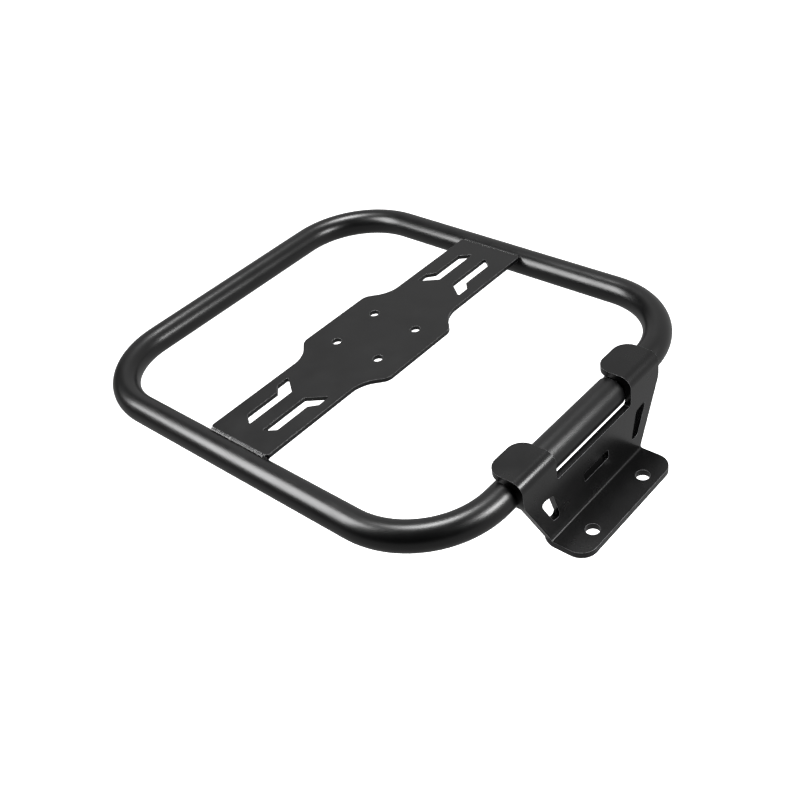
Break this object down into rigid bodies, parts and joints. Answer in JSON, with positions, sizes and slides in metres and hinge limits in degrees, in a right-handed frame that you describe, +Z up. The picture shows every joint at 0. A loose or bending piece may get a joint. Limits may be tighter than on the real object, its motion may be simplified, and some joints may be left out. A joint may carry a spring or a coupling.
{
  "type": "folding luggage rack",
  "caption": "Tubular luggage rack hoop with a slotted cross plate, hinged in the hooks of a folded bolt-on bracket so that it folds up.",
  "frame": {"origin": "midway between the two bolt holes on the underside of the bracket's flange", "axes": "+X along the hinge bar, +Y from the flange bolts towards the hoop, +Z up"},
  "size_m": [0.379, 0.4707, 0.0866],
  "materials": {
    "painted_tube": "satin black powder coat",
    "painted_plate": "fine textured black powder coat",
    "painted_sheet": "satin black powder coat",
    "painted_weld": "satin black powder coat over weld ripples",
    "painted_spacer": "dull satin black powder coat",
    "bare_steel": "drawn tube, uncoated"
  },
  "bodies": {
    "bracket": {"mounting_bracket": "painted_sheet", "left_keeper": "painted_sheet", "left_keeper_weld": "painted_weld", "right_keeper": "painted_sheet", "right_keeper_weld": "painted_weld"},
    "hoop": {"hoop_tube": "painted_tube", "joint_weld": "painted_tube", "joint_sleeve": "bare_steel", "hinge_spacer": "painted_spacer", "cross_plate": "painted_plate", "left_plate_weld": "painted_weld", "left_stop_lug": "painted_sheet", "left_lug_weld": "painted_weld", "right_plate_weld": "painted_weld", "right_stop_lug": "painted_sheet", "right_lug_weld": "painted_weld"}
  },
  "joints": [
    {"name": "hoop_fold", "type": "hinge", "parent": "bracket", "child": "hoop", "pos_m": [0, 0.0379, 0.068], "axis": [1, 0, 0], "range_deg": [0, 100]}
  ]
}
